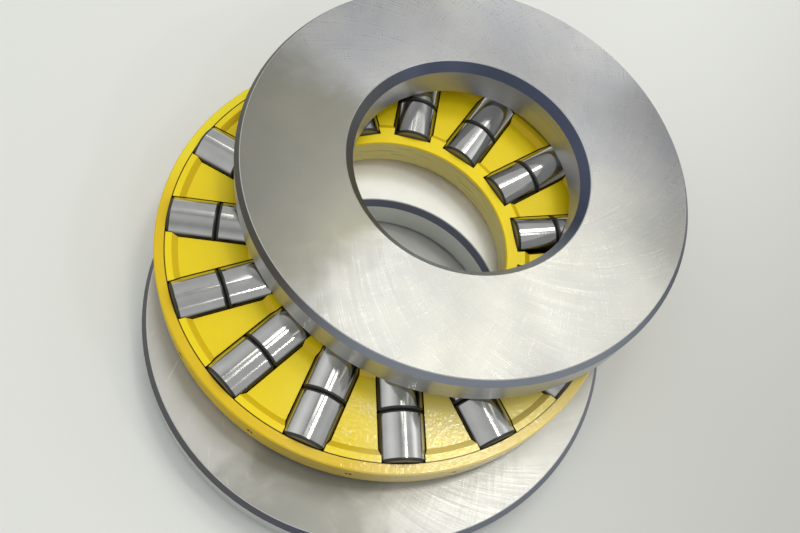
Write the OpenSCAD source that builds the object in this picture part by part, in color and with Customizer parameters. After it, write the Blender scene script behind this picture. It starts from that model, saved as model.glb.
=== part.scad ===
// Cylindrical roller thrust bearing, 150 x 300 x 90 mm, laid out as a fan.
// The housing washer lies flat, the caged rollers lie on it a little to one side,
// and the shaft washer lies on the rollers further over. All three stay level.
// The frame's origin is the middle of the footprint, on the surface below.

/* [Bearing] */
// Outer diameter of the bearing, which is the housing washer's
bearing_od = 300; // [276:1:324]
// Bore of the bearing, which is the shaft washer's
bearing_bore = 150; // [138:0.5:160]

/* [Housing washer] */
// How far the housing washer's bore stands back from the shaft all round
housing_bore_step = 3.5; // [1:0.1:6]
// Thickness of the housing washer
housing_t = 29; // [20:0.5:38]
// Radial width of the unground bevel round the outer edges
housing_rim_bevel_w = 3.4; // [1:0.1:6]
// Height of the unground bevel round the outer edges
housing_rim_bevel_h = 4.1; // [1:0.1:7]
// Width and height of the bevel round both mouths of the bore
housing_bore_bevel = 4; // [1:0.1:7]

/* [Shaft washer] */
// How far the shaft washer's rim stands in from the housing washer's rim
shaft_rim_step = 1.5; // [0.5:0.1:4]
// Thickness of the shaft washer
shaft_t = 29; // [20:0.5:38]
// Radial width of the bevel round the outer edge of the back face
shaft_rim_bevel_w = 3.6; // [1:0.1:6]
// Height of the bevel round the outer edge of the back face
shaft_rim_bevel_h = 4.6; // [1:0.1:7]
// Radial width of the bevel at the bore's mouth in the back face
shaft_bore_bevel_w = 5.5; // [1:0.1:8]
// Height of the bevel at the bore's mouth in the back face
shaft_bore_bevel_h = 6.2; // [1:0.1:8]
// Bevel round the outer edge of the track face
track_rim_bevel = 2.5; // [0.5:0.1:4]
// Bevel at the bore's mouth in the track face
track_bore_bevel = 2; // [0.5:0.1:4]

/* [Rollers] */
// Diameter of every roller
roller_d = 31.7; // [30.6:0.1:33]
// Clearance between a roller and each washer's track
track_play = 0.15; // [0.1:0.05:0.5]
// How much longer the outer roller of a pocket is than the inner one
roller_len_step = 2; // [0:0.5:6]
// Corner radius at both ends of a roller
roller_corner = 1.5; // [0.5:0.1:2.5]

/* [Cage] */
// Number of pockets round the cage
pockets = 15; // [12:1:15]
// How far the closing ring's rim stands in from the housing washer's rim
cage_rim_step = 1.3; // [0.5:0.1:4]
// How far the cage's bore stands back from the shaft all round
cage_bore_step = 0.4; // [0.2:0.1:3]
// Radial wall between the cage's bore and the floors of the pockets
hub_wall = 6.8; // [4:0.2:10]
// Thickness of the cage across its lands
cage_t = 20; // [16:0.5:24]
// Radial clearance between a roller and its pocket
pocket_play = 0.45; // [0.3:0.05:0.6]
// End clearance between the outer roller and the closing ring
outer_end_play = 0.8; // [0.3:0.1:1.5]
// End clearance between the inner roller and the pocket's floor
inner_end_play = 1; // [0.3:0.1:1.5]
// End clearance between the two rollers of a pocket
middle_end_play = 0.3; // [0.2:0.1:0.8]
// Radial width of the closing ring
ring_w = 6.4; // [4:0.2:9]
// Radial width of the land between the closing ring and the recess
rim_land_w = 4.3; // [2:0.1:8]
// Radial width of the land round the cage's bore
hub_land_w = 12.8; // [8:0.2:18]
// Radial width of the sloped side of the recess
recess_slope_w = 3.7; // [1:0.1:6]
// Depth of the recess turned into both faces
recess_depth = 2.2; // [0.5:0.1:4]
// Bevel on the cage's outer and bore edges
cage_edge = 0.8; // [0.3:0.1:1.5]
// Bevel on both sides of the joint between body and closing ring
seam_bevel = 0.35; // [0.1:0.05:0.8]

/* [Cage pins] */
// Diameter of the pins that hold the closing ring
pin_d = 4; // [3:0.5:6]
// Length of a pin
pin_len = 18; // [12:0.5:24]
// How far a pin's outer end lies below the ring's surface
pin_recess = 1.2; // [0.2:0.1:2.5]

/* [Layout] */
// Sideways place of the cage's axis from the housing washer's axis
cage_shift_x = -5.7; // [-20:0.1:20]
// Backward place of the cage's axis from the housing washer's axis
cage_shift_y = 35.6; // [0:0.1:45]
// Sideways place of the shaft washer's axis from the cage's axis
shaft_shift_x = 31.5; // [0:0.1:45]
// Backward place of the shaft washer's axis from the cage's axis
shaft_shift_y = 54.3; // [0:0.1:60]

/* [Hidden] */
$fn = 144;
// Clearance of the closing ring on the body, and of a pin in its hole
press_play = 0.02;
// Gap between a pin's inner end and the floor of its hole
pin_floor_gap = 0.3;
// Bevel at both ends of a pin
pin_bevel = 0.4;
// Steps in the quarter round at a roller's corner
corner_steps = 4;
// How far a cutter runs past the surface it cuts
cut_past = 1;

// Radii of the two washers
housing_r = bearing_od / 2;
housing_bore_r = bearing_bore / 2 + housing_bore_step;
shaft_r = housing_r - shaft_rim_step;
shaft_bore_r = bearing_bore / 2;

// Heights of the stack, from the surface upwards
low_track_z = housing_t;
roller_z = low_track_z + track_play + roller_d / 2;
high_track_z = low_track_z + 2 * track_play + roller_d;

// Radii of the cage
cage_r = housing_r - cage_rim_step;
cage_bore_r = shaft_bore_r + cage_bore_step;
seam_r = cage_r - ring_w;
pocket_floor_r = cage_bore_r + hub_wall;
pocket_r = roller_d / 2 + pocket_play;
pocket_pitch = 360 / pockets;
recess_out_r = seam_r - rim_land_w;
recess_in_r = cage_bore_r + hub_land_w;
pin_out_r = cage_r - pin_recess;
pin_in_r = pin_out_r - pin_len;
pin_hole_r = pin_d / 2 + press_play;

// The two rollers of a pocket fill it but for their end clearances
both_rollers_len = seam_r - pocket_floor_r - outer_end_play - middle_end_play - inner_end_play;
inner_roller_len = (both_rollers_len - roller_len_step) / 2;
outer_roller_len = (both_rollers_len + roller_len_step) / 2;
inner_roller_r = pocket_floor_r + inner_end_play;
outer_roller_r = inner_roller_r + inner_roller_len + middle_end_play;

// Footprint of the three discs, whose middle is the frame's origin
disc_r = [housing_r, cage_r, shaft_r];
disc_x = [0, cage_shift_x, cage_shift_x + shaft_shift_x];
disc_y = [0, cage_shift_y, cage_shift_y + shaft_shift_y];
function middle_of(centres) =
    (min([for (i = [0 : 2]) centres[i] - disc_r[i]]) + max([for (i = [0 : 2]) centres[i] + disc_r[i]])) / 2;
housing_at = [disc_x[0] - middle_of(disc_x), disc_y[0] - middle_of(disc_y), 0];
cage_at = [disc_x[1] - middle_of(disc_x), disc_y[1] - middle_of(disc_y), roller_z];
shaft_at = [disc_x[2] - middle_of(disc_x), disc_y[2] - middle_of(disc_y), high_track_z];

function two_digits(i) = str(i < 10 ? "0" : "", i);
function inner_name(i) = str("roller_inner_", two_digits(i));
function outer_name(i) = str("roller_outer_", two_digits(i));

// A flat ring standing on z = 0. Each bevel is [radial width, height].
module bevelled_ring(in_r, out_r, t, low_bore, low_rim, high_rim, high_bore) {
    rotate_extrude()
        polygon([
            [in_r + low_bore[0], 0],
            [out_r - low_rim[0], 0],
            [out_r, low_rim[1]],
            [out_r, t - high_rim[1]],
            [out_r - high_rim[0], t],
            [in_r + high_bore[0], t],
            [in_r, t - high_bore[1]],
            [in_r, low_bore[1]]
        ]);
}

// Housing washer: both faces ground, with the same unground bevels on both
module housing_washer() {
    rim = [housing_rim_bevel_w, housing_rim_bevel_h];
    mouth = [housing_bore_bevel, housing_bore_bevel];
    color("silver")
        translate(housing_at)
            bevelled_ring(housing_bore_r, housing_r, housing_t, mouth, rim, rim, mouth);
}

// Shaft washer: large bevels on its back face, which is up, small ones at the track
module shaft_washer() {
    color("gainsboro")
        translate(shaft_at)
            bevelled_ring(
                shaft_bore_r, shaft_r, shaft_t,
                [track_bore_bevel, track_bore_bevel],
                [track_rim_bevel, track_rim_bevel],
                [shaft_rim_bevel_w, shaft_rim_bevel_h],
                [shaft_bore_bevel_w, shaft_bore_bevel_h]
            );
}

// Upper half of the cage body's section, from the bore out to the seam
function body_half_section() = [
    [cage_bore_r, cage_t / 2 - cage_edge],
    [cage_bore_r + cage_edge, cage_t / 2],
    [recess_in_r, cage_t / 2],
    [recess_in_r + recess_slope_w, cage_t / 2 - recess_depth],
    [recess_out_r - recess_slope_w, cage_t / 2 - recess_depth],
    [recess_out_r, cage_t / 2],
    [seam_r - seam_bevel, cage_t / 2],
    [seam_r, cage_t / 2 - seam_bevel]
];

// Places what it is given at the middle angle of every spoke, pointing outwards
module at_spokes() {
    for (i = [0 : pockets - 1])
        rotate([0, 0, (i + 0.5) * pocket_pitch])
            rotate([0, 90, 0])
                children();
}

module pin_holes() {
    at_spokes()
        translate([0, 0, pin_in_r - pin_floor_gap])
            cylinder(r = pin_hole_r, h = cage_r + cut_past - pin_in_r);
}

// Cage body: a recessed brass ring, bored from its rim with one round pocket for
// each pair of rollers. The bores break through both faces and leave windows
// narrower than the rollers, which is what holds the rollers in.
module cage_body() {
    half = body_half_section();
    last = len(half) - 1;
    lower = [for (i = [last : -1 : 0]) [half[i][0], -half[i][1]]];
    color("gold")
        translate(cage_at)
            difference() {
                rotate_extrude()
                    polygon(concat(half, lower));
                for (i = [0 : pockets - 1])
                    rotate([0, 0, i * pocket_pitch])
                        translate([pocket_floor_r, 0, 0])
                            rotate([0, 90, 0])
                                cylinder(r = pocket_r, h = seam_r + cut_past - pocket_floor_r);
                pin_holes();
            }
}

// Closing ring round the body, which shuts the mouths of the pockets
module cage_ring() {
    joint_edge = [seam_bevel, seam_bevel];
    outer_edge = [cage_edge, cage_edge];
    color("goldenrod")
        translate(cage_at)
            difference() {
                translate([0, 0, -cage_t / 2])
                    bevelled_ring(seam_r + press_play, cage_r, cage_t, joint_edge, outer_edge, outer_edge, joint_edge);
                pin_holes();
            }
}

// One radial pin in each spoke, through the closing ring into the body
module cage_pins() {
    color("darkgoldenrod")
        translate(cage_at)
            at_spokes()
                translate([0, 0, pin_in_r])
                    rotate_extrude()
                        polygon([
                            [0, 0],
                            [pin_d / 2 - pin_bevel, 0],
                            [pin_d / 2, pin_bevel],
                            [pin_d / 2, pin_len - pin_bevel],
                            [pin_d / 2 - pin_bevel, pin_len],
                            [0, pin_len]
                        ]);
}

// Quarter round of a roller's end, from its face at y = 0 to its side
function corner_points() = [
    for (i = [0 : corner_steps])
        let (a = 90 * i / corner_steps)
            [roller_d / 2 - roller_corner * (1 - sin(a)), roller_corner * (1 - cos(a))]
];

// A roller lying in pocket i, whose inner end is start_r from the cage's axis
module roller(i, start_r, length) {
    near_end = corner_points();
    far_end = [for (k = [corner_steps : -1 : 0]) [near_end[k][0], length - near_end[k][1]]];
    translate(cage_at)
        rotate([0, 0, (i - 1) * pocket_pitch])
            translate([start_r, 0, 0])
                rotate([0, 90, 0])
                    rotate_extrude()
                        polygon(concat([[0, 0]], near_end, far_end, [[0, length]]));
}

module roller_inner(i) {
    color("slategray") roller(i, inner_roller_r, inner_roller_len);
}

module roller_outer(i) {
    color("lightslategray") roller(i, outer_roller_r, outer_roller_len);
}

housing_washer();
shaft_washer();
cage_body();
cage_ring();
cage_pins();
for (i = [1 : pockets]) {
    roller_inner(i);
    roller_outer(i);
}
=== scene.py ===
import math

import bpy
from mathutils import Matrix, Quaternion, Vector

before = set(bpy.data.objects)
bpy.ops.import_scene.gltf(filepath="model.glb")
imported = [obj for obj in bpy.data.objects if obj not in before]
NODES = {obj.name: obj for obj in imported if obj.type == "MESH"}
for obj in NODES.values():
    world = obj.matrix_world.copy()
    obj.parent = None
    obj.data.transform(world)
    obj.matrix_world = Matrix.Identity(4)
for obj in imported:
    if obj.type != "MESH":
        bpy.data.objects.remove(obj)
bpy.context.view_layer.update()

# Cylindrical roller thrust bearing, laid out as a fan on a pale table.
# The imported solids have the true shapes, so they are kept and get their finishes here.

WHITE = (1.0, 1.0, 1.0, 1.0)

bpy.ops.object.select_all(action="DESELECT")


def box_of(name):
    """The lowest and the highest corner of a node's box in its own coordinates, in metres."""
    corners = [Vector(corner) for corner in NODES[name].bound_box]
    low = Vector([min(corner[axis] for corner in corners) for axis in range(3)])
    high = Vector([max(corner[axis] for corner in corners) for axis in range(3)])
    return low, high


def foot_and_height(name):
    """Where a ring's axis meets its lower face, and the ring's height, in metres."""
    low, high = box_of(name)
    return Vector(((low.x + high.x) / 2, (low.y + high.y) / 2, low.z)), high.z - low.z


# Places and sizes on the bearing, from the frame. The first pocket lies along X, so the ends of its
# two rollers tell how far from the cage's axis the rollers meet and where they end.
HOUSING_AT, WASHER_T = foot_and_height("housing_washer")
SHAFT_AT = foot_and_height("shaft_washer")[0]
CAGE_FOOT, CAGE_T = foot_and_height("cage_ring")
CAGE_AT = CAGE_FOOT + Vector((0, 0, CAGE_T / 2))
BODY_LOW, BODY_HIGH = box_of("cage_body")
SEAM_R = (BODY_HIGH.y - BODY_LOW.y) / 2
POCKETS = len([name for name in NODES if name.startswith("roller_outer_")])
ROLLER_JOINT_R = (box_of("roller_inner_01")[1].x + box_of("roller_outer_01")[0].x) / 2 - CAGE_AT.x
ROLLER_END_R = box_of("roller_outer_01")[1].x - CAGE_AT.x

# Sizes in metres that no box tells, as in the part's source
RECESS_DEPTH = 0.0022
CAGE_BORE_R = 0.0754

# Radii on a washer's face in metres: near its bore, in its middle and near its rim
NEAR_BORE_R = 0.088
MIDDLE_R = 0.11
NEAR_RIM_R = 0.140


def colour(sheet):
    """An sRGB hex value as the linear colour that a socket takes."""
    parts = [int(sheet[i:i + 2], 16) / 255 for i in (1, 3, 5)]
    linear = [c / 12.92 if c <= 0.04045 else ((c + 0.055) / 1.055) ** 2.4 for c in parts]
    return (*linear, 1.0)


# Some inputs below go by number. Map Range takes the value at 0, its range at 1 and 2 and the new range
# at 3 and 4. Mix takes the share at 0 and its two sides at 2 and 3 for numbers, 4 and 5 for vectors, and
# 6 and 7 for colours, and gives the result at 0, 1 or 2.
def add(tree, kind, sockets=(), **settings):
    """Adds a node. sockets maps an input's name or number to a value or to another node's output."""
    node = tree.nodes.new(kind)
    for name, value in settings.items():
        setattr(node, name, value)
    for key, value in dict(sockets).items():
        if isinstance(value, bpy.types.NodeSocket):
            tree.links.new(value, node.inputs[key])
        else:
            node.inputs[key].default_value = value
    return node


def new_material(name):
    material = bpy.data.materials.new(name)
    material.use_nodes = True
    tree = material.node_tree
    tree.nodes.clear()
    return material, tree


def paint(node_names, material):
    for name in node_names:
        mesh = NODES[name].data
        mesh.materials.clear()
        mesh.materials.append(material)


def towards(azimuth, elevation=0):
    """The direction at an azimuth from +Y towards +X and an elevation above the table, in degrees."""
    around, up = math.radians(azimuth), math.radians(elevation)
    return Vector((math.sin(around) * math.cos(up), math.cos(around) * math.cos(up), math.sin(up)))


def turned_disc_coordinates(tree, at):
    """Object coordinates about a ring's axis, with the way outwards and how level the surface lies."""
    place = add(tree, "ShaderNodeTexCoord")
    local = add(tree, "ShaderNodeMapping", {"Vector": place.outputs["Object"], "Location": -at}).outputs[0]
    split = add(tree, "ShaderNodeSeparateXYZ", {0: local}).outputs
    flat = add(tree, "ShaderNodeVectorMath", {0: local, 1: (1, 1, 0)}, operation="MULTIPLY").outputs[0]
    slope = add(tree, "ShaderNodeSeparateXYZ", {0: place.outputs["Normal"]}).outputs[2]
    return {
        "local": local,
        "flat": flat,
        "out": add(tree, "ShaderNodeVectorMath", {0: flat}, operation="NORMALIZE").outputs[0],
        "radius": add(tree, "ShaderNodeVectorMath", {0: flat}, operation="LENGTH").outputs["Value"],
        "angle": add(tree, "ShaderNodeMath", {0: split[1], 1: split[0]}, operation="ARCTAN2").outputs[0],
        "height": split[2],
        "normal": place.outputs["Normal"],
        "level": add(tree, "ShaderNodeMath", {0: slope}, operation="ABSOLUTE").outputs[0],
    }


def on_side(tree, disc, azimuth, start, full):
    """1 on a ring's side at the azimuth, 0 away from it. start and full are cosines of the angle between."""
    lean = add(tree, "ShaderNodeVectorMath", {0: disc["out"], 1: towards(azimuth)},
               operation="DOT_PRODUCT").outputs["Value"]
    return add(tree, "ShaderNodeMapRange", {0: lean, 1: start, 2: full},
               interpolation_type="SMOOTHSTEP").outputs[0]


def bore_and_outer(tree, outer, tones):
    """The first tone at the bore and the second at the outer edge."""
    return add(tree, "ShaderNodeMix", {0: outer, 6: colour(tones[0]), 7: colour(tones[1])},
               data_type="RGBA").outputs[2]


def swept_lines(tree, disc, lean, spacing, run):
    """Grinding lines that cross a ring at one lean to the radius, in degrees.
    spacing is from line to line in its middle, and run how far outwards a line reaches, in metres."""
    turns = MIDDLE_R / spacing
    spread = add(tree, "ShaderNodeMath", {0: disc["radius"], 1: math.e}, operation="LOGARITHM").outputs[0]
    drift = add(tree, "ShaderNodeMath",
                {0: spread, 1: -math.tan(math.radians(lean)), 2: disc["angle"]},
                operation="MULTIPLY_ADD").outputs[0]
    cos = add(tree, "ShaderNodeMath", {0: drift}, operation="COSINE").outputs[0]
    sin = add(tree, "ShaderNodeMath", {0: drift}, operation="SINE").outputs[0]
    along = add(tree, "ShaderNodeMath", {0: disc["radius"], 1: 1 / run / turns},
                operation="MULTIPLY").outputs[0]
    line = add(tree, "ShaderNodeCombineXYZ", {0: cos, 1: sin, 2: along}).outputs[0]
    return add(tree, "ShaderNodeTexNoise",
               {"Vector": line, "Scale": turns, "Detail": 2.0, "Roughness": 0.6}).outputs["Fac"]


# The look of each washer. face_tones are the dark and the light of its smudges, and every other pair of
# tones is that at the bore and that at the outer edge. Sides are azimuths in degrees. A painted reflection
# stretch of the face is its azimuth, the cosines of the angle from there at which it starts and is full,
# and how much lighter or darker it is painted near the bore and near the rim.
SHAFT_WASHER_LOOK = {
    "dark_bevels_above": WASHER_T / 2,
    "face_tones": ("#94959a", "#a2a2a1"),
    "face_metallic": 0.95,
    "smooth": 0.25,
    "coarse": 0.33,
    "oil_and_shade_side": 248,
    "oil_and_shade_from": 0.74,
    "oil_and_shade_full": 0.98,
    "oil_and_shade_tone": "#c6c4b6",
    "painted_light_gain": 1.0,
    "clean_dulling": 0.0,
    "clean_metallic": 0.95,
    "streak_gain": 0.17,
    "near_side_tint": (1.0, 0.99, 0.92, 1.0),
    "painted_reflection_stretches": (
        (75, 0.78, 0.95, 0.97, 0.63),
        (10, 0.80, 0.97, 0.90, 1.42),
        (150, 0.50, 0.85, 1.00, 1.20),
        (160, 0.945, 0.99, 0.92, 0.75),
    ),
    "wall_tones": ("#b4b5ba", "#b9bab9"),
    "wall_metallic": 0.85,
    "bevel_tones": ("#555b6f", "#5a5f70"),
    "painted_brown_reflection_tones": ("#6a6b6c", "#5b5852"),
    "painted_pale_reflection_tones": ("#a3aab6", "#959aa6"),
    "pale_reflection_side": 160,
}
# All bevels of the housing washer are dark, so theirs start below it
HOUSING_WASHER_LOOK = {
    "dark_bevels_above": -1.0,
    "face_tones": ("#b8b8b5", "#c6c5c0"),
    "face_metallic": 0.65,
    "smooth": 0.29,
    "coarse": 0.43,
    "oil_and_shade_side": 183,
    "oil_and_shade_from": 0.97,
    "oil_and_shade_full": 1.07,
    "oil_and_shade_tone": "#ccccc8",
    "painted_light_gain": 1.90,
    "clean_dulling": 0.16,
    "clean_metallic": 0.40,
    "streak_gain": 0.40,
    "near_side_tint": WHITE,
    "painted_reflection_stretches": (),
    # Its bore wall is painted much lighter than its outer wall, as painted light down the bore
    "wall_tones": ("#e0e4e0", "#c0c4c2"),
    "wall_metallic": 0.80,
    "bevel_tones": ("#666b7c", "#53576a"),
    "painted_brown_reflection_tones": ("#666b7c", "#5f5d60"),
    "painted_pale_reflection_tones": ("#666b7c", "#7c808c"),
    "pale_reflection_side": 120,
}
NEAR_SIDE = 150
BROWN_REFLECTION_SIDE = -115


# Through-hardened bearing steel, its flat faces ground and its edge bevels left dark from hardening.
# The lay crosses the ring in long arcs, so a lamp's reflection is drawn out across the arcs.
def ground_washer_steel(name, at, look):
    material, tree = new_material(name)
    disc = turned_disc_coordinates(tree, at)

    # Which part of the washer a point is on
    face = add(tree, "ShaderNodeMapRange", {0: disc["level"], 1: 0.93, 2: 0.97}).outputs[0]
    wall = add(tree, "ShaderNodeMapRange", {0: disc["level"], 1: 0.12, 2: 0.06}).outputs[0]
    flat_or_wall = add(tree, "ShaderNodeMath", {0: face, 1: wall}, operation="MAXIMUM").outputs[0]
    bevel = add(tree, "ShaderNodeMath", {0: 1.0, 1: flat_or_wall}, operation="SUBTRACT").outputs[0]
    high = add(tree, "ShaderNodeMath", {0: disc["height"], 1: look["dark_bevels_above"]},
               operation="GREATER_THAN").outputs[0]
    dark = add(tree, "ShaderNodeMath", {0: bevel, 1: high}, operation="MULTIPLY").outputs[0]
    outer = add(tree, "ShaderNodeMath", {0: disc["radius"], 1: MIDDLE_R},
                operation="GREATER_THAN").outputs[0]

    # Lay of the grinding, drawn 0.6 and 0.9 mm apart so that it shows
    lay = swept_lines(tree, disc, 50, 0.0006, 0.030)
    cross_lay = swept_lines(tree, disc, -38, 0.0009, 0.020)
    both = add(tree, "ShaderNodeMath", {0: cross_lay, 1: 0.5, 2: lay}, operation="MULTIPLY_ADD").outputs[0]
    # Hand smudges about 45 mm across, and patches of wiped oil about 18 mm across
    smudge = add(tree, "ShaderNodeTexNoise",
                 {"Vector": disc["local"], "Scale": 22.0, "Detail": 4.0, "Roughness": 0.55}).outputs["Fac"]
    wipe = add(tree, "ShaderNodeTexNoise",
               {"Vector": disc["local"], "Scale": 55.0, "Detail": 3.0, "Distortion": 0.6}).outputs["Fac"]

    steel = add(tree, "ShaderNodeValToRGB", {0: smudge})
    for stop, position, tone in zip(steel.color_ramp.elements, (0.3, 0.72), look["face_tones"]):
        stop.position = position
        stop.color = colour(tone)
    # One side of the face holds a thicker film of oil, with a broken edge, and its darker tone there is also
    # painted shade for the face's dark reflection; the other side is clean
    lean = add(tree, "ShaderNodeVectorMath", {0: disc["out"], 1: towards(look["oil_and_shade_side"])},
               operation="DOT_PRODUCT").outputs["Value"]
    broken = add(tree, "ShaderNodeMath", {0: wipe, 1: 0.15, 2: lean}, operation="MULTIPLY_ADD").outputs[0]
    oily_and_shaded = add(tree, "ShaderNodeMapRange", {0: broken, 1: look["oil_and_shade_from"], 2: look["oil_and_shade_full"]},
               interpolation_type="SMOOTHSTEP").outputs[0]
    clean = add(tree, "ShaderNodeMapRange", {0: broken, 1: -0.40, 2: -0.70},
                interpolation_type="SMOOTHSTEP").outputs[0]
    film = add(tree, "ShaderNodeMix", {0: oily_and_shaded, 6: WHITE, 7: colour(look["oil_and_shade_tone"])},
               data_type="RGBA").outputs[2]
    filmed_and_shaded = add(tree, "ShaderNodeVectorMath", {0: steel.outputs[0], 1: film},
                 operation="MULTIPLY").outputs[0]
    # The near side may be a little yellow with old oil, and stretches of the face are painted lighter or
    # darker as painted reflection
    near_side = on_side(tree, disc, NEAR_SIDE, 0.0, 0.7)
    tint = add(tree, "ShaderNodeMix", {0: near_side, 6: WHITE, 7: look["near_side_tint"]},
               data_type="RGBA").outputs[2]
    filmed_and_shaded = add(tree, "ShaderNodeVectorMath", {0: filmed_and_shaded, 1: tint}, operation="MULTIPLY").outputs[0]
    for azimuth, start, full, near_bore, near_rim in look["painted_reflection_stretches"]:
        there = on_side(tree, disc, azimuth, start, full)
        gain = add(tree, "ShaderNodeMapRange", {
            0: disc["radius"], 1: NEAR_BORE_R, 2: NEAR_RIM_R, 3: near_bore, 4: near_rim}).outputs[0]
        gain = add(tree, "ShaderNodeMix", {0: there, 2: 1.0, 3: gain}).outputs[0]
        filmed_and_shaded = add(tree, "ShaderNodeVectorMath", {0: filmed_and_shaded, "Scale": gain}, operation="SCALE").outputs[0]
    # Deeper lines of the lay stand out as light streaks. The oil fills the lay, so they hardly show there.
    deep_lay = swept_lines(tree, disc, 50, 0.0016, 0.014)
    streak = add(tree, "ShaderNodeMapRange",
                 {0: deep_lay, 1: 0.66, 2: 0.76, 3: 0.0, 4: look["streak_gain"]}).outputs[0]
    dry = add(tree, "ShaderNodeMapRange", {0: oily_and_shaded, 3: 1.0, 4: 0.2}).outputs[0]
    streak = add(tree, "ShaderNodeMath", {0: streak, 1: dry, 2: 1.0}, operation="MULTIPLY_ADD").outputs[0]
    # On the clean side the face is painted lighter, as painted light where too little light reaches it
    painted_light_on_clean_side = add(tree, "ShaderNodeMapRange", {0: clean, 3: 1.0, 4: look["painted_light_gain"]}).outputs[0]
    lift = add(tree, "ShaderNodeMath", {0: streak, 1: painted_light_on_clean_side}, operation="MULTIPLY").outputs[0]
    face_steel = add(tree, "ShaderNodeVectorMath", {0: filmed_and_shaded, "Scale": lift},
                     operation="SCALE").outputs[0]

    # Grinding lines run round the walls, drawn about 0.6 mm apart so that they show
    around = add(tree, "ShaderNodeMapping",
                 {"Vector": disc["local"], "Scale": (12, 12, 1600)}).outputs[0]
    lines = add(tree, "ShaderNodeTexNoise", {"Vector": around, "Scale": 1.0, "Detail": 2.0}).outputs["Fac"]
    lined = add(tree, "ShaderNodeMapRange", {0: lines, 1: 0.3, 2: 0.7, 3: 0.93, 4: 1.05}).outputs[0]
    wall_rough = add(tree, "ShaderNodeMapRange", {0: lines, 1: 0.3, 2: 0.7, 3: 0.42, 4: 0.32}).outputs[0]
    wall_steel = add(tree, "ShaderNodeVectorMath",
                     {0: bore_and_outer(tree, outer, look["wall_tones"]), "Scale": lined},
                     operation="SCALE").outputs[0]

    # The skin left by hardening runs from blue to brown, painted browner on one side and paler on another as
    # painted reflection
    skin = bore_and_outer(tree, outer, look["bevel_tones"])
    for share, tones in (
        (on_side(tree, disc, BROWN_REFLECTION_SIDE, 0.2, 0.85), look["painted_brown_reflection_tones"]),
        (on_side(tree, disc, look["pale_reflection_side"], 0.5, 0.94), look["painted_pale_reflection_tones"]),
    ):
        skin = add(tree, "ShaderNodeMix", {0: share, 6: skin, 7: bore_and_outer(tree, outer, tones)},
                   data_type="RGBA").outputs[2]
    # Each upper bevel gets a painted highlight, a bright line where it meets the face
    rim = add(tree, "ShaderNodeMapRange",
              {0: disc["height"], 1: WASHER_T - 0.0007, 2: WASHER_T - 0.0004}).outputs[0]
    line = add(tree, "ShaderNodeMath", {0: bevel, 1: rim}, operation="MULTIPLY").outputs[0]

    finish = face_steel
    for share, tone in ((wall, wall_steel), (dark, skin), (line, colour("#d8d9da"))):
        finish = add(tree, "ShaderNodeMix", {0: share, 6: finish, 7: tone}, data_type="RGBA").outputs[2]

    open_lay = add(tree, "ShaderNodeMix", {0: dry, 2: 0.75, 3: both}).outputs[0]
    rough = add(tree, "ShaderNodeMapRange",
                {0: open_lay, 1: 0.55, 2: 0.95, 3: look["smooth"], 4: look["coarse"]}).outputs[0]
    rough = add(tree, "ShaderNodeMath", {0: wipe, 1: 0.03, 2: rough}, operation="MULTIPLY_ADD").outputs[0]
    rough = add(tree, "ShaderNodeMath", {0: clean, 1: look["clean_dulling"], 2: rough},
                operation="MULTIPLY_ADD").outputs[0]
    rough = add(tree, "ShaderNodeMix", {0: face, 2: wall_rough, 3: rough}).outputs[0]
    grain = add(tree, "ShaderNodeMath", {0: open_lay, 1: face}, operation="MULTIPLY").outputs[0]
    bump = add(tree, "ShaderNodeBump",
               {"Strength": 0.28, "Distance": 0.00004, "Height": grain}).outputs[0]

    # The tangent points outwards on the faces and upwards on the walls
    pull = add(tree, "ShaderNodeMix", {0: wall, 4: disc["flat"], 5: (0, 0, 1)},
               data_type="VECTOR").outputs[1]
    tangent = add(tree, "ShaderNodeVectorTransform", {0: pull},
                  vector_type="VECTOR", convert_from="OBJECT", convert_to="WORLD").outputs[0]

    # Films of oil and handling take some of the metal's mirror, most on the clean side of the face
    metal = add(tree, "ShaderNodeMix",
                {0: clean, 2: look["face_metallic"], 3: look["clean_metallic"]}).outputs[0]
    metal = add(tree, "ShaderNodeMix", {0: wall, 2: metal, 3: look["wall_metallic"]}).outputs[0]
    shader = add(tree, "ShaderNodeBsdfPrincipled", {
        "Base Color": finish, "Metallic": metal, "Roughness": rough, "Anisotropic": 0.6,
        "Tangent": tangent, "Normal": bump})
    add(tree, "ShaderNodeOutputMaterial", {0: shader.outputs[0]})
    return material
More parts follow.
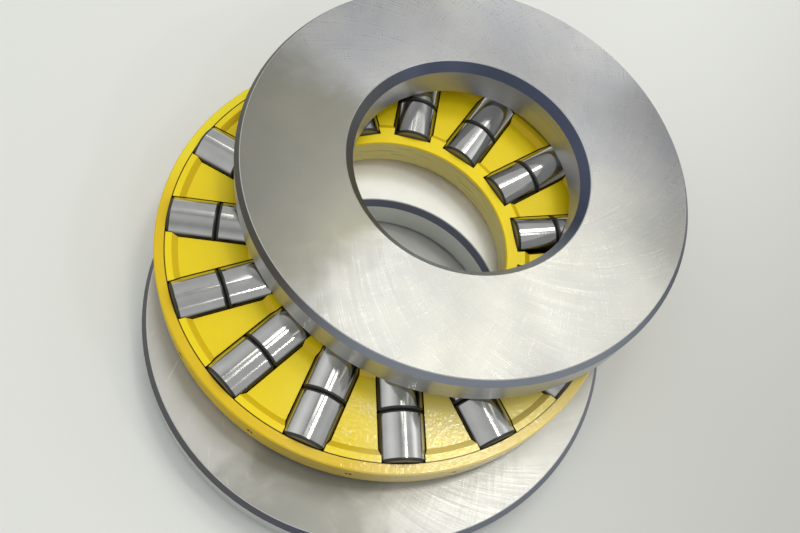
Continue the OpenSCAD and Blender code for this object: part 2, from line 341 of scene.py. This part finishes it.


# Hardened roller steel, centreless ground and lapped to a mirror, its corners and ends left dark from
# hardening, with painted shade of the gaps over the corners and sides. A lamp shows as one crisp bright
# line along the roller, and the room as bands beside it.
def lapped_roller_steel():
    material, tree = new_material("lapped_roller_steel")
    disc = turned_disc_coordinates(tree, CAGE_AT)

    # The way along the axis of the pocket that a point is in, and how far out along it the point is
    pitch = math.tau / POCKETS
    step = add(tree, "ShaderNodeMath", {0: disc["angle"], 1: 1 / pitch}, operation="MULTIPLY").outputs[0]
    pocket = add(tree, "ShaderNodeMath", {0: step}, operation="ROUND").outputs[0]
    axis_angle = add(tree, "ShaderNodeMath", {0: pocket, 1: pitch}, operation="MULTIPLY").outputs[0]
    cos = add(tree, "ShaderNodeMath", {0: axis_angle}, operation="COSINE").outputs[0]
    sin = add(tree, "ShaderNodeMath", {0: axis_angle}, operation="SINE").outputs[0]
    along = add(tree, "ShaderNodeCombineXYZ", {0: cos, 1: sin}).outputs[0]
    reach = add(tree, "ShaderNodeVectorMath", {0: disc["flat"], 1: along},
                operation="DOT_PRODUCT").outputs["Value"]

    # Rounded corners and flat ends, by how far the surface faces along the axis
    lean = add(tree, "ShaderNodeVectorMath", {0: disc["normal"], 1: along},
               operation="DOT_PRODUCT").outputs["Value"]
    endwise = add(tree, "ShaderNodeMath", {0: lean}, operation="ABSOLUTE").outputs[0]
    rounded = add(tree, "ShaderNodeMapRange", {0: endwise, 1: 0.03, 2: 0.1}).outputs[0]
    flat_end = add(tree, "ShaderNodeMapRange", {0: endwise, 1: 0.97, 2: 0.99}).outputs[0]
    # The dark of the corners reaches about 2 mm from the joint of the two rollers and from the outer end, as
    # painted shade of the gaps there
    from_joint = add(tree, "ShaderNodeMath", {0: reach, 1: ROLLER_JOINT_R}, operation="SUBTRACT").outputs[0]
    off_joint = add(tree, "ShaderNodeMath", {0: from_joint}, operation="ABSOLUTE").outputs[0]
    by_joint = add(tree, "ShaderNodeMapRange", {0: off_joint, 1: 0.0021, 2: 0.0018}).outputs[0]
    by_end = add(tree, "ShaderNodeMapRange",
                 {0: reach, 1: ROLLER_END_R - 0.0019, 2: ROLLER_END_R - 0.0016}).outputs[0]
    ends = add(tree, "ShaderNodeMath", {0: by_joint, 1: by_end}, operation="MAXIMUM").outputs[0]
    corner = add(tree, "ShaderNodeMath", {0: rounded, 1: ends}, operation="MAXIMUM").outputs[0]
    # Each side is painted dark as shade in the gap, where the window's edge holds the roller
    across = add(tree, "ShaderNodeVectorMath", {0: along, 1: (0, 0, 1)},
                 operation="CROSS_PRODUCT").outputs[0]
    sidewise = add(tree, "ShaderNodeVectorMath", {0: disc["normal"], 1: across},
                   operation="DOT_PRODUCT").outputs["Value"]
    by_side = add(tree, "ShaderNodeMath", {0: sidewise}, operation="ABSOLUTE").outputs[0]
    side = add(tree, "ShaderNodeMapRange", {0: by_side, 1: 0.74, 2: 0.82}).outputs[0]

    # A thin film of oil, in patches about 11 mm across
    film = add(tree, "ShaderNodeTexNoise",
               {"Vector": disc["local"], "Scale": 90.0, "Detail": 3.0}).outputs["Fac"]
    steel = add(tree, "ShaderNodeValToRGB", {0: film})
    for stop, position, tone in zip(steel.color_ramp.elements, (0.3, 0.7), ("#c6c5c1", "#d0d0cd")):
        stop.position = position
        stop.color = colour(tone)
    finish = steel.outputs[0]
    for share, tone in ((side, "#4a4540"), (corner, "#4c4d4c"), (flat_end, "#8f8a7a")):
        finish = add(tree, "ShaderNodeMix", {0: share, 6: finish, 7: colour(tone)},
                     data_type="RGBA").outputs[2]
    metal = add(tree, "ShaderNodeMapRange", {0: flat_end, 3: 1.0, 4: 0.4}).outputs[0]
    smooth = add(tree, "ShaderNodeMapRange", {0: film, 1: 0.3, 2: 0.7, 3: 0.09, 4: 0.13}).outputs[0]
    rough = add(tree, "ShaderNodeMath", {0: corner, 1: 0.3, 2: smooth}, operation="MULTIPLY_ADD").outputs[0]
    # Fine rings from the grinding wheel, drawn 0.4 mm apart so that they show
    rings = add(tree, "ShaderNodeTexNoise", {"W": reach, "Scale": 2500.0, "Detail": 1.0},
                noise_dimensions="1D").outputs["Fac"]
    bump = add(tree, "ShaderNodeBump",
               {"Strength": 0.04, "Distance": 0.00001, "Height": rings}).outputs[0]
    tangent = add(tree, "ShaderNodeVectorTransform", {0: along},
                  vector_type="VECTOR", convert_from="OBJECT", convert_to="WORLD").outputs[0]
    shader = add(tree, "ShaderNodeBsdfPrincipled", {
        "Base Color": finish, "Metallic": metal, "Roughness": rough, "Anisotropic": 0.5,
        "Tangent": tangent, "Normal": bump})
    add(tree, "ShaderNodeOutputMaterial", {0: shader.outputs[0]})
    return material


# Spilt oil on the cage: X and Y from its axis and how far it reaches, in metres
SPILT_OIL = ((0.0624, -0.1090, 0.019), (0.0166, -0.1105, 0.0065), (0.0075, -0.1272, 0.0035))


# Cast brass, turned all over and bored: a satin yellow, painted deeper on the slopes as shade, and browner
# where oil and dirt sit. land is the tone of the faces, painted_light_far_land the lighter tone painted as
# light on their far left, and floor the recess's.
def turned_cage_brass(name, land, painted_light_far_land, floor):
    material, tree = new_material(name)
    disc = turned_disc_coordinates(tree, CAGE_AT)

    # Which part of the cage a point is on
    depth = add(tree, "ShaderNodeMath", {0: disc["height"]}, operation="ABSOLUTE").outputs[0]
    in_recess = add(tree, "ShaderNodeMapRange",
                    {0: depth, 1: CAGE_T / 2 - 0.0003, 2: CAGE_T / 2 - RECESS_DEPTH}).outputs[0]
    sloped = add(tree, "ShaderNodeMapRange", {0: disc["level"], 1: 0.96, 2: 0.9}).outputs[0]
    upright = add(tree, "ShaderNodeMapRange", {0: disc["level"], 1: 0.12, 2: 0.06}).outputs[0]
    inside = add(tree, "ShaderNodeMath", {0: disc["radius"], 1: CAGE_BORE_R + 0.0016},
                 operation="LESS_THAN").outputs[0]
    bored = add(tree, "ShaderNodeMath", {0: upright, 1: inside}, operation="MULTIPLY").outputs[0]
    around_axis = add(tree, "ShaderNodeVectorMath", {0: disc["out"], 1: (0, 0, 1)},
                      operation="CROSS_PRODUCT").outputs[0]
    sidewise = add(tree, "ShaderNodeVectorMath", {0: disc["normal"], 1: around_axis},
                   operation="DOT_PRODUCT").outputs["Value"]
    by_side = add(tree, "ShaderNodeMath", {0: sidewise}, operation="ABSOLUTE").outputs[0]
    pocket = add(tree, "ShaderNodeMapRange", {0: by_side, 1: 0.3, 2: 0.45}).outputs[0]
    from_seam = add(tree, "ShaderNodeMath", {0: disc["radius"], 1: SEAM_R}, operation="SUBTRACT").outputs[0]
    off_seam = add(tree, "ShaderNodeMath", {0: from_seam}, operation="ABSOLUTE").outputs[0]
    seam = add(tree, "ShaderNodeMapRange", {0: off_seam, 1: 0.0005, 2: 0.0002}).outputs[0]

    # Mottling about 22 mm across, and patches of oil about 70 mm across
    mottle = add(tree, "ShaderNodeTexNoise",
                 {"Vector": disc["local"], "Scale": 45.0, "Detail": 5.0, "Roughness": 0.6}).outputs["Fac"]
    patch = add(tree, "ShaderNodeTexNoise",
                {"Vector": disc["local"], "Scale": 14.0, "Detail": 2.0}).outputs["Fac"]
    # Brown scuffs run round the rim's wall, about 25 mm long
    around = add(tree, "ShaderNodeMapping", {"Vector": disc["local"], "Scale": (40, 40, 500)}).outputs[0]
    rubs = add(tree, "ShaderNodeTexNoise", {"Vector": around, "Scale": 1.0, "Detail": 3.0}).outputs["Fac"]
    rubbed = add(tree, "ShaderNodeMapRange", {0: rubs, 1: 0.56, 2: 0.70, 3: 0.0, 4: 0.45}).outputs[0]
    scuffed = add(tree, "ShaderNodeMath", {0: rubbed, 1: upright}, operation="MULTIPLY").outputs[0]
    # A painted sheen of the oil film, pale on the side where the film is thick
    thick = on_side(tree, disc, 137, 0.76, 0.92)
    painted_oil_sheen = add(tree, "ShaderNodeMath", {0: thick, 1: 0.37}, operation="MULTIPLY").outputs[0]
    # Spilt oil stands in beads up to 2 mm across, in one patch and two drops of the recess, painted pale as
    # their glints
    beads = add(tree, "ShaderNodeTexNoise",
                {"Vector": disc["local"], "Scale": 480.0, "Detail": 3.0, "Roughness": 0.65}).outputs["Fac"]
    beads = add(tree, "ShaderNodeMapRange", {0: beads, 1: 0.52, 2: 0.62, 3: 0.0, 4: 0.8}).outputs[0]
    spilt = 0.0
    for x, y, reach in SPILT_OIL:
        off_spot = add(tree, "ShaderNodeVectorMath", {0: disc["flat"], 1: (x, y, 0)},
                       operation="DISTANCE").outputs["Value"]
        spot = add(tree, "ShaderNodeMapRange", {0: off_spot, 1: reach, 2: reach * 0.6}).outputs[0]
        spilt = add(tree, "ShaderNodeMath", {0: spot, 1: spilt}, operation="MAXIMUM").outputs[0]
    spilt = add(tree, "ShaderNodeMath", {0: spilt, 1: in_recess}, operation="MULTIPLY").outputs[0]
    painted_bead_glints = add(tree, "ShaderNodeMath", {0: spilt, 1: beads}, operation="MULTIPLY").outputs[0]

    # The bore is handled and dulled; the pockets' walls are painted dark brown as shade in their narrow
    # gaps, and the slopes deeper as painted shade
    # The faces' far left is painted lighter, as painted light
    far = on_side(tree, disc, -55, 0.70, 0.90)
    brass = add(tree, "ShaderNodeMix", {0: far, 6: colour(land), 7: colour(painted_light_far_land)},
                data_type="RGBA").outputs[2]
    for share, tone in ((in_recess, floor), (sloped, "#ecc90e"), (bored, "#e3d688"), (pocket, "#6b4a24")):
        brass = add(tree, "ShaderNodeMix", {0: share, 6: brass, 7: colour(tone)},
                    data_type="RGBA").outputs[2]
    shade = add(tree, "ShaderNodeMapRange", {0: mottle, 1: 0.3, 2: 0.7, 3: 0.95, 4: 1.0}).outputs[0]
    brass = add(tree, "ShaderNodeVectorMath", {0: brass, "Scale": shade}, operation="SCALE").outputs[0]
    # Over these lie the scuffs, a dark line of oil in the joint with the closing ring, the painted sheen of
    # the oil and the painted glints of its beads
    for share, tone in ((scuffed, "#a87414"), (seam, "#5a4718"), (painted_oil_sheen, "#fff3b8"), (painted_bead_glints, "#fbf3c4")):
        brass = add(tree, "ShaderNodeMix", {0: share, 6: brass, 7: colour(tone)},
                    data_type="RGBA").outputs[2]

    # Turning marks round the axis, 0.35 mm apart
    marks = add(tree, "ShaderNodeTexNoise", {"W": disc["radius"], "Scale": 2800.0, "Detail": 2.0},
                noise_dimensions="1D").outputs["Fac"]
    skin = add(tree, "ShaderNodeMath", {0: mottle, 1: 1.5, 2: marks}, operation="MULTIPLY_ADD").outputs[0]
    bump = add(tree, "ShaderNodeBump",
               {"Strength": 0.25, "Distance": 0.00003, "Height": skin}).outputs[0]
    rough = add(tree, "ShaderNodeMapRange", {0: patch, 1: 0.35, 2: 0.65, 3: 0.44, 4: 0.54}).outputs[0]
    # A clear film of oil stands in ripples about 2.4 mm across, mostly on the near side and in patches
    ripple = add(tree, "ShaderNodeTexNoise",
                 {"Vector": disc["local"], "Scale": 420.0, "Detail": 2.0, "Distortion": 0.3}).outputs["Fac"]
    wet = add(tree, "ShaderNodeBump",
              {"Strength": 0.8, "Distance": 0.00025, "Height": ripple}).outputs[0]
    lean = add(tree, "ShaderNodeVectorMath", {0: disc["out"], 1: (0.5, -0.87, 0)},
               operation="DOT_PRODUCT").outputs["Value"]
    broken = add(tree, "ShaderNodeMath", {0: patch, 1: 0.6, 2: lean}, operation="MULTIPLY_ADD").outputs[0]
    oil = add(tree, "ShaderNodeMapRange", {0: broken, 1: 0.88, 2: 1.10, 3: 0.1, 4: 1.0}).outputs[0]
    # The faces are satin and dulled all over, and the walls keep more of the metal's mirror
    metal = add(tree, "ShaderNodeMapRange", {0: upright, 3: 0.12, 4: 0.4}).outputs[0]
    shader = add(tree, "ShaderNodeBsdfPrincipled", {
        "Base Color": brass, "Metallic": metal, "Roughness": rough, "Specular IOR Level": 0.3,
        "Normal": bump, "Coat Weight": oil, "Coat Roughness": 0.13, "Coat Normal": wet})
    add(tree, "ShaderNodeOutputMaterial", {0: shader.outputs[0]})
    return material


# Drawn brass pins, dulled, and painted dark brown at the ends that show as shade in their holes
def drawn_pin_brass_in_painted_shade():
    material, tree = new_material("drawn_pin_brass_in_painted_shade")
    place = add(tree, "ShaderNodeTexCoord").outputs["Object"]
    stain = add(tree, "ShaderNodeTexNoise", {"Vector": place, "Scale": 900.0, "Detail": 2.0}).outputs["Fac"]
    brass = add(tree, "ShaderNodeValToRGB", {0: stain})
    for stop, position, tone in zip(brass.color_ramp.elements, (0.35, 0.65), ("#2e1c10", "#553a1a")):
        stop.position = position
        stop.color = colour(tone)
    shader = add(tree, "ShaderNodeBsdfPrincipled",
                 {"Base Color": brass.outputs[0], "Metallic": 0.5, "Roughness": 0.6})
    add(tree, "ShaderNodeOutputMaterial", {0: shader.outputs[0]})
    return material


def finish_the_bearing():
    shaft_steel = ground_washer_steel("ground_shaft_washer_steel", SHAFT_AT, SHAFT_WASHER_LOOK)
    paint(["shaft_washer"], shaft_steel)
    housing_steel = ground_washer_steel("ground_housing_washer_steel", HOUSING_AT, HOUSING_WASHER_LOOK)
    paint(["housing_washer"], housing_steel)
    paint(["cage_body"], turned_cage_brass("turned_cage_body_brass", "#ffe30c", "#ffe30c", "#fade0a"))
    paint(["cage_ring"], turned_cage_brass("turned_closing_ring_brass", "#edc817", "#ffeb24", "#edc817"))
    paint(["cage_pins"], drawn_pin_brass_in_painted_shade())
    paint([name for name in NODES if name.startswith("roller_")], lapped_roller_steel())


# Matt pale table top, without reflections, painted a little greyer to the right of the bearing as shade
# where the light falls off
def matt_table():
    material, tree = new_material("matt_table")
    place = add(tree, "ShaderNodeTexCoord").outputs["Object"]
    across = add(tree, "ShaderNodeVectorMath", {0: place, 1: (1.0, -0.35, 0.0)},
                 operation="DOT_PRODUCT").outputs["Value"]
    right = add(tree, "ShaderNodeMapRange", {0: across, 1: 0.0, 2: 0.40},
                interpolation_type="SMOOTHSTEP").outputs[0]
    out = add(tree, "ShaderNodeVectorMath", {0: place}, operation="LENGTH").outputs["Value"]
    near = add(tree, "ShaderNodeMapRange", {0: out, 1: 1.2, 2: 0.4},
               interpolation_type="SMOOTHSTEP").outputs[0]
    # Painted shade: greyer to the right, near the bearing
    dull = add(tree, "ShaderNodeMath", {0: right, 1: near}, operation="MULTIPLY").outputs[0]
    tone = add(tree, "ShaderNodeMix", {0: dull, 6: colour("#f0f1ed"), 7: colour("#cbcbc7")},
               data_type="RGBA").outputs[2]
    shader = add(tree, "ShaderNodeBsdfPrincipled",
                 {"Base Color": tone, "Roughness": 0.7, "Specular IOR Level": 0.2})
    add(tree, "ShaderNodeOutputMaterial", {0: shader.outputs[0]})
    return material


TABLE_SIZE = 24.0


def lay_the_table():
    bpy.ops.mesh.primitive_plane_add(size=TABLE_SIZE, location=(0, 0, 0))
    table = bpy.context.object
    table.name = "table"
    table.data.materials.append(matt_table())
    bpy.ops.object.select_all(action="DESELECT")


LAMP_DISTANCE = 2.6
LAMP_TINT = (1.0, 0.985, 0.925)


def hang_lamp(name, azimuth, elevation, width, height, watts, turn=0.0):
    light = bpy.data.lights.new(name, "AREA")
    light.shape = "RECTANGLE"
    light.size = width
    light.size_y = height
    light.energy = watts
    light.color = LAMP_TINT
    lamp = bpy.data.objects.new(name, light)
    bpy.context.scene.collection.objects.link(lamp)
    where = towards(azimuth, elevation)
    lamp.location = where * LAMP_DISTANCE
    lamp.rotation_mode = "QUATERNION"
    lamp.rotation_quaternion = where.to_track_quat("Z", "Y") @ Quaternion((0, 0, 1), math.radians(turn))


def hang_the_lamps():
    hang_lamp("ceiling_panel_left", -4, 66, 0.50, 0.90, 5.4, turn=-12)
    hang_lamp("ceiling_panel_middle", 15, 65, 0.40, 0.60, 0.3)
    hang_lamp("ceiling_panel_right", 25.5, 58.5, 0.40, 0.56, 4.1)
    hang_lamp("ceiling_lamp_middle", 5, 58, 0.35, 0.35, 1.3)
    hang_lamp("tube_lamp_left", -23, 59, 0.10, 0.80, 0.5)
    hang_lamp("overhead_lamp", 52, 73.5, 0.36, 0.36, 6.0)
    hang_lamp("far_lamp_front", 134, 50, 0.12, 0.12, 2.0)
    hang_lamp("far_lamp_right", 101, 41, 0.12, 0.12, 2.8)


ROOM_LEVEL = 0.54
ROOM_TINT = (0.985, 1.0, 1.0)
PALE_WALLS = 0.22
# Soft areas of the room: azimuth, elevation, half width in degrees and how much lighter or darker
ROOM_AREAS = (
    (54, 30, 10, 0.90),
    (-30, 72, 7, -0.25),
    (180, 54, 15, -0.22),
    (165, 16, 18, 0.08),
    (-75, 38, 20, 0.45),
    (-40, 20, 20, -0.03),
    (32, 38, 12, 0.22),
    (-150, 40, 20, 0.12),
)


def build_the_room():
    world = bpy.data.worlds.new("room")
    bpy.context.scene.world = world
    world.use_nodes = True
    tree = world.node_tree
    tree.nodes.clear()
    way = add(tree, "ShaderNodeTexCoord").outputs["Generated"]
    total = ROOM_LEVEL
    for azimuth, elevation, half_width, change in ROOM_AREAS:
        near = add(tree, "ShaderNodeVectorMath", {0: way, 1: towards(azimuth, elevation)},
                   operation="DOT_PRODUCT").outputs["Value"]
        rate = math.log(2) / (1 - math.cos(math.radians(half_width)))
        fall = add(tree, "ShaderNodeMath", {0: near, 1: rate, 2: -rate}, operation="MULTIPLY_ADD").outputs[0]
        soft = add(tree, "ShaderNodeMath", {0: fall}, operation="EXPONENT").outputs[0]
        total = add(tree, "ShaderNodeMath", {0: soft, 1: change, 2: total},
                    operation="MULTIPLY_ADD").outputs[0]
    # Pale walls, from the table's height up to 6 degrees above it
    height = add(tree, "ShaderNodeSeparateXYZ", {0: way}).outputs[2]
    low = add(tree, "ShaderNodeMapRange", {0: height, 1: 0.10, 2: 0.02}).outputs[0]
    total = add(tree, "ShaderNodeMath", {0: low, 1: PALE_WALLS, 2: total},
                operation="MULTIPLY_ADD").outputs[0]
    tint = add(tree, "ShaderNodeVectorMath", {0: ROOM_TINT, "Scale": total}, operation="SCALE").outputs[0]
    background = add(tree, "ShaderNodeBackground", {"Color": tint, "Strength": 1.0})
    add(tree, "ShaderNodeOutputWorld", {0: background.outputs[0]})


# The photo's camera, fitted to the bearing's circles: place in metres, lens in mm, roll in degrees
CAMERA_AT = (-0.023786, -0.268149, 0.529883)
CAMERA_AIM = (0.03202, 0.4572, -0.88879)
CAMERA_ROLL = 21.421
CAMERA_LENS = 37.814
CAMERA_SENSOR = 36.0


def set_the_camera():
    camera = bpy.data.objects.new("camera", bpy.data.cameras.new("camera"))
    bpy.context.scene.collection.objects.link(camera)
    bpy.context.scene.camera = camera
    camera.data.sensor_width = CAMERA_SENSOR
    camera.data.lens = CAMERA_LENS
    camera.data.clip_start = 0.01
    camera.data.clip_end = 30.0
    camera.location = CAMERA_AT
    camera.rotation_mode = "QUATERNION"
    aim = Vector(CAMERA_AIM).to_track_quat("-Z", "Y")
    camera.rotation_quaternion = aim @ Quaternion((0, 0, 1), math.radians(CAMERA_ROLL))


finish_the_bearing()
lay_the_table()
hang_the_lamps()
build_the_room()
set_the_camera()
bpy.context.scene.view_settings.view_transform = "Standard"
